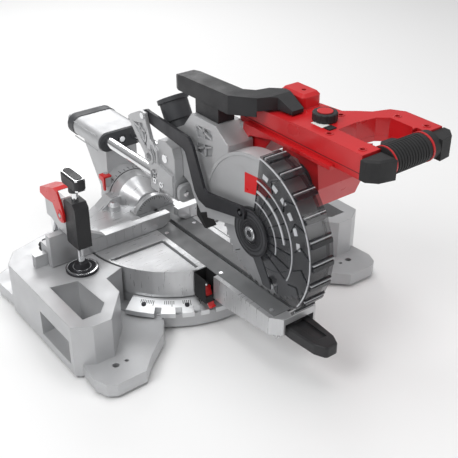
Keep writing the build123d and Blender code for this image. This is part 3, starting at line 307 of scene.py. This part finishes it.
# ---------------------------------------------------------------- base and turntable
DETENTS = (-42, -31.6, -22.5, -15, 0, 15, 22.5, 31.6, 42)    # degrees, kept free of ticks
TICK_R = 139.5             # inner end of the mitre scale's ticks
TICK_HALF_WIDTH = 0.45


def ring_top(radius):
    """Height just above the sloping top of the mitre scale ring."""
    return 38.12 - (radius - 138) * 7 / 22


bm = bmesh.new()
for step in range(-52, 53):
    if min(abs(step - detent) for detent in DETENTS) < 2.2:
        continue
    length = 9.0 if step % 5 == 0 else 5.5
    angle = math.radians(step - 90)
    upper = []
    for r, side in ((TICK_R, 1), (TICK_R + length, 1), (TICK_R + length, -1), (TICK_R, -1)):
        t = angle + side * TICK_HALF_WIDTH / r
        upper.append(bm.verts.new((r * math.cos(t), r * math.sin(t), ring_top(r))))
    lower = [bm.verts.new((v.co.x, v.co.y, v.co.z - 0.3)) for v in upper]
    skin(bm, upper, lower)
add_mesh("ring_ticks", bm, INK, "base")

bm = bmesh.new()
for side in (-1, 1):
    for k in range(9):
        x = side * (28 + 14 * k)
        prism(bm, rect(x - 0.6, 82, x + 0.6, 99.5), -5.35, -4.9, "y")
add_mesh("fence_lines", bm, MACHINED, "base")

# bright washers on the stop bosses behind the fence
STOP_BOSS_X = 50
STOP_BOSS_Y = 83

bm = bmesh.new()
for side in (-1, 1):
    prism(bm, disc((side * STOP_BOSS_X, STOP_BOSS_Y), 9.6), TABLE_Z + 0.02, TABLE_Z + 1.2, "z")
add_mesh("turntable_washers", bm, CHROME, "turntable", SMOOTH)

# painted shade in the pocket beside the mitre pointer: a near-black floor, two side walls and back
# wall stand in for the shade in the recess
POCKET_LEFT = -50.7
POCKET_RIGHT = -31.2
POCKET_FRONT = -151.7
POCKET_BACK = -126.3
POCKET_WALL_Z = (46.0, 79.0)

bm = bmesh.new()
prism(bm, rect(POCKET_LEFT, POCKET_FRONT, POCKET_RIGHT, POCKET_BACK), 41.2, 50.0, "z")
for x0, x1 in ((-31.4, -31.05), (-50.95, -50.6)):
    prism(bm, rect(x0, POCKET_FRONT, x1, POCKET_BACK), *POCKET_WALL_Z, "z")
prism(bm, rect(POCKET_LEFT, -126.4, POCKET_RIGHT, -126.05), *POCKET_WALL_Z, "z")
add_mesh("pointer_pocket_shade", bm, POCKET, "turntable")

# ---------------------------------------------------------------- bevel bearing, scale and housing
bm = bmesh.new()
for k in range(-4, 5):
    angle = math.radians(90 + k * 11)
    outline = [(r * math.cos(angle + s * 0.010), TABLE_Z + r * math.sin(angle + s * 0.010))
               for r, s in ((41.5, -1), (41.5, 1), (41.2, 1), (41.2, -1))]
    prism(bm, outline, 116.5, 124 if k % 2 == 0 else 121, "y")
add_mesh("bevel_ticks", bm, INK, "bevel_arm")

# painted shade: a near-black ring stands in for the shadowed gap around the bevel bearing
bm = bmesh.new()
ring_prism(bm, (0, TABLE_Z), 40.4, 37.0, 114.2, 115.3, "y")
add_mesh("bevel_gap_shade", bm, POCKET, "turntable")

SCALE_CENTRE_Z = 68        # centre of the arc of ticks on the bevel scale plate
SCALE_LOWEST_Z = 83.5      # ticks that reach down to this height are left out

bm = bmesh.new()
for k in range(-9, 10):
    angle = math.radians(90 + k * 6)
    inner = 29.0 if k % 3 == 0 else 31.0
    outline = [(r * math.cos(angle + s * 0.008), SCALE_CENTRE_Z + r * math.sin(angle + s * 0.008))
               for r, s in ((inner, 1), (34.0, 1), (34.0, -1), (inner, -1))]
    if min(z for x, z in outline) > SCALE_LOWEST_Z:
        prism(bm, outline, 47.7, 48.05, "y")
add_mesh("bevel_plate_ticks", bm, INK, "turntable")

bm = bmesh.new()
for z in (153.5, 177.5):
    prism(bm, rect(141, z - 1, 211, z + 1), -39.2, -38.6, "x")
add_mesh("housing_flutes", bm, CAST, "bevel_arm")

# ---------------------------------------------------------------- carriage and head
CARRIAGE_RIBS = (
    ((36, 238), (0, 232), 2.6), ((0, 246), (4, 206), 2.6), ((18, 242), (2, 214), 2.2),
    ((-12, 218), (-20, 196), 2.4), ((-8, 182), (-24, 170), 2.4), ((-24, 186), (-8, 164), 2.2),
)
DUCT_RIBS = (
    ((-92, 272), (-126, 262), 2.4), ((-108, 274), (-112, 258), 2.2),
    ((-94, 240), (-126, 252), 2.4), ((-112, 236), (-110, 252), 2.2),
)

bm = bmesh.new()
for a, b, width in CARRIAGE_RIBS:
    prism(bm, strip(a, b, width), -37.3, -34.2, "x")
ring_prism(bm, (-6, 199), 10.5, 6.0, -38.2, -36.9)
ring_prism(bm, (8, 255), 6.0, 4.5, -37.7, -36.9)
add_mesh("carriage_ribs", bm, CAST, "carriage", SMOOTH)

bm = bmesh.new()
for a, b, width in DUCT_RIBS:
    prism(bm, strip(a, b, width), -19.7, -16.8, "x")
ring_prism(bm, (-38, 207), 19.6, 17.2, -19.95, -19.3)
add_mesh("duct_ribs", bm, CAST, "head", SMOOTH)

# upper guard: raised rim and the plain red label
UPPER_GUARD_X = -19.9      # the rim and the label stand on this plane

bm = bmesh.new()
ring_prism(bm, ARBOR, 101.2, 96.5, -20.9, UPPER_GUARD_X, start=20, end=200, steps=90)
add_mesh("upper_guard_rim", bm, CAST, "head", SMOOTH)

bm = bmesh.new()
prism(bm, [(-194, 246), (-194, 219), (-214, 223), (-243, 231), (-246, 242), (-226, 248)],
      -20.45, UPPER_GUARD_X, "x")
add_mesh("guard_label", bm, LABEL_RED, "head")

# seam, plain label and screw cups on the red body
SHELL_SCREWS = ((33, -278), (33, -330), (136, -330), (131, -290), (81, -247))

bm = bmesh.new()
prism(bm, rect(-131.5, 288.2, -341, 288.9), 21.85, 22.15, "x")
add_mesh("body_seam", bm, POCKET, "head")

bm = bmesh.new()
prism(bm, rect(37, -262, 49, -243), 310.55, 311.4, "z")
add_mesh("body_label", bm, LABEL_WHITE, "head")

bm = bmesh.new()
for centre in SHELL_SCREWS:
    ring_prism(bm, centre, 5.0, 2.9, 310.3, 311.5, "z", steps=24)
add_mesh("screw_cups", bm, RED, "head", SMOOTH)

# grip: raised ribs around the front of the rubber cover, and a red band near each end
GRIP = (-345.5, 297.5)     # y, z of the grip's middle line
GRIP_RADII = (18.6, 16.6)


def grip_arc(bm, x0, x1, grow, thick, start, end, steps=26):
    """A band that follows the grip's oval from start to end degrees."""
    for i in range(steps):
        t0 = math.radians(start + (end - start) * i / steps)
        t1 = math.radians(start + (end - start) * (i + 1) / steps)
        quad = [(GRIP[0] + (GRIP_RADII[0] + d) * math.cos(t),
                 GRIP[1] + (GRIP_RADII[1] + d) * math.sin(t))
                for d, t in ((grow, t0), (grow, t1), (grow - thick, t1), (grow - thick, t0))]
        prism(bm, quad, x0, x1, "x")


bm = bmesh.new()
for k in range(12):
    grip_arc(bm, 56.0 + 4.3 * k, 58.4 + 4.3 * k, 0.7, 1.0, 62, 298)
add_mesh("grip_ribs", bm, RUBBER, "head", SMOOTH)

bm = bmesh.new()
for x0, x1 in ((110.6, 113.4), (51.2, 53.2)):
    grip_arc(bm, x0, x1, 0.9, 1.2, 0, 360, 44)
add_mesh("grip_bands", bm, RED, "head", SMOOTH)

# ---------------------------------------------------------------- lower guard, arbor and blade
GUARD_WALL_X = -24.9       # the ribs and arcs stand on this plane of the clear wall
GUARD_RIM_X = (-24, 7.5)   # the bars run across the faceted rim between these planes

# radial ribs and chevrons on the clear wall, and bars across the faceted rim
bm = bmesh.new()
for k in range(8):
    a = 99 + 15.5 * k
    prism(bm, strip(polar(34, a), polar(72, a), 1.4), -26.0, GUARD_WALL_X, "x")
for a in (112, 130, 148, 166, 184, 202):
    prism(bm, strip(polar(80, a + 6), polar(92, a), 1.5), -26.2, GUARD_WALL_X, "x")
    prism(bm, strip(polar(92, a), polar(107, a + 7), 1.5), -26.2, GUARD_WALL_X, "x")
for k in range(9):
    a = 104 + 15 * k
    prism(bm, strip(polar(107.6, a), polar(111.6, a), 5.5), *GUARD_RIM_X, "x")
    prism(bm, strip(polar(107.6, a - 4), polar(110.8, a - 4), 1.6), *GUARD_RIM_X, "x")
add_mesh("guard_ribs", bm, GUARD_RIB, "guard", SMOOTH)

# painted highlights: bright arcs and dashes on the wall and bright lines across the rim, standing
# in for reflections on the clear guard
GUARD_HIGHLIGHT_ARCS = (
    (107.4, 105.9, 97, 214), (76.5, 75.2, 97, 206), (64.0, 61.0, 99, 168), (47.5, 46.4, 97, 190),
)

bm = bmesh.new()
for r_out, r_in, start, end in GUARD_HIGHLIGHT_ARCS:
    ring_prism(bm, ARBOR, r_out, r_in, -26.1, GUARD_WALL_X, start=start, end=end, steps=40)
for k in range(9):
    a = 101.2 + 15 * k
    prism(bm, strip(polar(109.2, a), polar(111.2, a), 0.9), *GUARD_RIM_X, "x")
for k in range(6):
    ring_prism(bm, ARBOR, 91.0, 85.0, -25.6, GUARD_WALL_X, start=103 + 12 * k, end=109 + 12 * k,
               steps=5)
add_mesh("guard_highlights", bm, GUARD_HIGHLIGHT, "guard", SMOOTH)

bm = bmesh.new()
for r_out, r_in, top in ((30.6, 28.2, -27.3), (24.6, 22.8, -27.25), (20.4, 17.6, -27.3)):
    ring_prism(bm, ARBOR, r_out, r_in, top, -26.9)
add_mesh("hub_rings", bm, DARK_STEEL, "guard", SMOOTH)

# arbor: dark cap, bright rings of its bolt, and the face of the guard's bearing ring
bm = bmesh.new()
prism(bm, disc(ARBOR, 13.6, 48), -26.4, -18.2, "x")
prism(bm, disc(ARBOR, 10.5, 48), -27.4, -26.3, "x")
add_mesh("arbor_cap", bm, DARK_STEEL, "blade", SMOOTH)

bm = bmesh.new()
for r_out, r_in, top in ((8.2, 4.6, -28.9), (9.4, 7.6, -28.2)):
    ring_prism(bm, ARBOR, r_out, r_in, top, -27.3, steps=36)
add_mesh("arbor_bolt", bm, CHROME, "blade", SMOOTH)

bm = bmesh.new()
ring_prism(bm, ARBOR, 16.9, 14.1, -27.0, -26.45)
add_mesh("bearing_face", bm, DARK_STEEL, "head", SMOOTH)

# red fairing over the mounting rail
bm = bmesh.new()
prism(bm, [(-146, 284.5), (-300.6, 284.5), (-300.6, 279.5), (-199.7, 279.5), (-158.3, 271.2),
           (-154, 262), (-146, 262)], 14.6, 21.95, "x")
add_mesh("rail_fairing", bm, RED, "head", SMOOTH)

# blade: expansion slots and a printed ring
bm = bmesh.new()
for k in range(6):
    a = 60 * k + 12
    prism(bm, strip(polar(78, a), polar(90, a + 2), 1.2), -0.95, 0.95, "x")
ring_prism(bm, ARBOR, 60, 59.2, -0.86, -0.8, steps=64)
add_mesh("blade_marks", bm, INK, "blade")

# red insert on the speed dial
DIAL = (56, -246)

bm = bmesh.new()
prism(bm, disc(DIAL, 9.5), 321.5, 322.6, "z")
add_mesh("dial_insert", bm, RED, "dial", SMOOTH)

# ---------------------------------------------------------------- clamp
bm = bmesh.new()
for k in range(22):
    z = 96 + 1.05 * k
    prism(bm, disc(CLAMP, 4.53, 20), z, z + 0.5, "z")
add_mesh("clamp_thread", bm, CHROME, "clamp_screw", SMOOTH)

# bright ring and stepped dome of the foot
bm = bmesh.new()
ring_prism(bm, CLAMP, 21.0, 18.6, 83.1, 84.0, "z")
for k in range(4):
    prism(bm, disc(CLAMP, 12.6 - 2.2 * k), 83.1 + 1.6 * k, 84.9 + 1.6 * k, "z")
add_mesh("clamp_foot_rings", bm, CHROME, "clamp_foot", SMOOTH)

# moulded handle over the screw's cross bar, with a collar below it
HANDLE_HALF_X = 7
HANDLE_HALF_Y = 20
HANDLE_CORNER = 5

bm = bmesh.new()
for grow, z0, z1 in ((0.4, 205.4, 221.2), (1.0, 207.5, 219.0), (-1.2, 221.2, 222.6)):
    outline = rounded_rect(CLAMP, HANDLE_HALF_X + grow, HANDLE_HALF_Y + grow, HANDLE_CORNER)
    prism(bm, outline, z0, z1, "z")
prism(bm, disc(CLAMP, 7.4), 197.5, 205.5, "z")
add_mesh("clamp_handle", bm, BLACK, "clamp_screw", SMOOTH)

bm = bmesh.new()
ring_prism(bm, (-9, 157), 8.2, 4.2, -180.4, -179.5)
add_mesh("clamp_eye", bm, RED_PAINT, "clamp_lever", SMOOTH)

# ---------------------------------------------------------------- stage, light, camera
bpy.ops.mesh.primitive_plane_add(size=14, location=(0, 0, 0))
floor = bpy.context.object
floor.name = "floor"
white = bpy.data.materials.new("floor white")
white.use_nodes = True
floor_bsdf = white.node_tree.nodes["Principled BSDF"]
floor_bsdf.inputs["Base Color"].default_value = (0.9, 0.9, 0.9, 1)
floor_bsdf.inputs["Roughness"].default_value = 0.8
floor.data.materials.append(white)
floor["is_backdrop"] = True

# soft white surroundings that darken downwards
world = bpy.data.worlds.new("studio")
bpy.context.scene.world = world
world.use_nodes = True
tree = world.node_tree
background = tree.nodes["Background"]
background.inputs["Strength"].default_value = 0.55
sky = tree.nodes.new("ShaderNodeTexCoord")
split = tree.nodes.new("ShaderNodeSeparateXYZ")
ramp = tree.nodes.new("ShaderNodeValToRGB")
tree.links.new(sky.outputs["Generated"], split.inputs["Vector"])
tree.links.new(split.outputs["Z"], ramp.inputs["Fac"])
tree.links.new(ramp.outputs["Color"], background.inputs["Color"])
ramp.color_ramp.elements[0].position = 0.0
ramp.color_ramp.elements[0].color = (0.30, 0.30, 0.31, 1)
ramp.color_ramp.elements[1].position = 0.75
ramp.color_ramp.elements[1].color = (1, 1, 1, 1)


def area(name, place, target, size, power):
    """A rectangular light; place, target and size in metres, power in watts."""
    light = bpy.data.lights.new(name, "AREA")
    light.shape = "RECTANGLE"
    light.size, light.size_y = size
    light.energy = power
    obj = bpy.data.objects.new(name, light)
    bpy.context.scene.collection.objects.link(obj)
    obj.location = place
    obj.rotation_euler = (Vector(target) - Vector(place)).to_track_quat("-Z", "Y").to_euler()


area("key", (-1.4, -0.2, 1.5), (0, 0, 0.1), (0.8, 0.8), 14)
area("top", (0.1, 0.1, 2.0), (0, 0, 0.1), (1.4, 1.0), 12)
area("fill", (0.9, -1.6, 0.7), (0, 0, 0.15), (0.5, 0.9), 4)
area("rim", (0.5, 1.6, 1.0), (0, 0, 0.2), (1.2, 0.5), 9)

CAMERA_AIM = (0.522, 0.684, -0.509)

camera = bpy.data.cameras.new("camera")
camera.lens = 65.4
camera.sensor_width = 36
view = bpy.data.objects.new("camera", camera)
bpy.context.scene.collection.objects.link(view)
view.location = mm(-575.6, -890.5, 693.4)
view.rotation_euler = Vector(CAMERA_AIM).to_track_quat("-Z", "Y").to_euler()
bpy.context.scene.camera = view
bpy.context.scene.view_settings.view_transform = "Standard"

{"at_load": size_at_load, "at_finish": plain(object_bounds())}
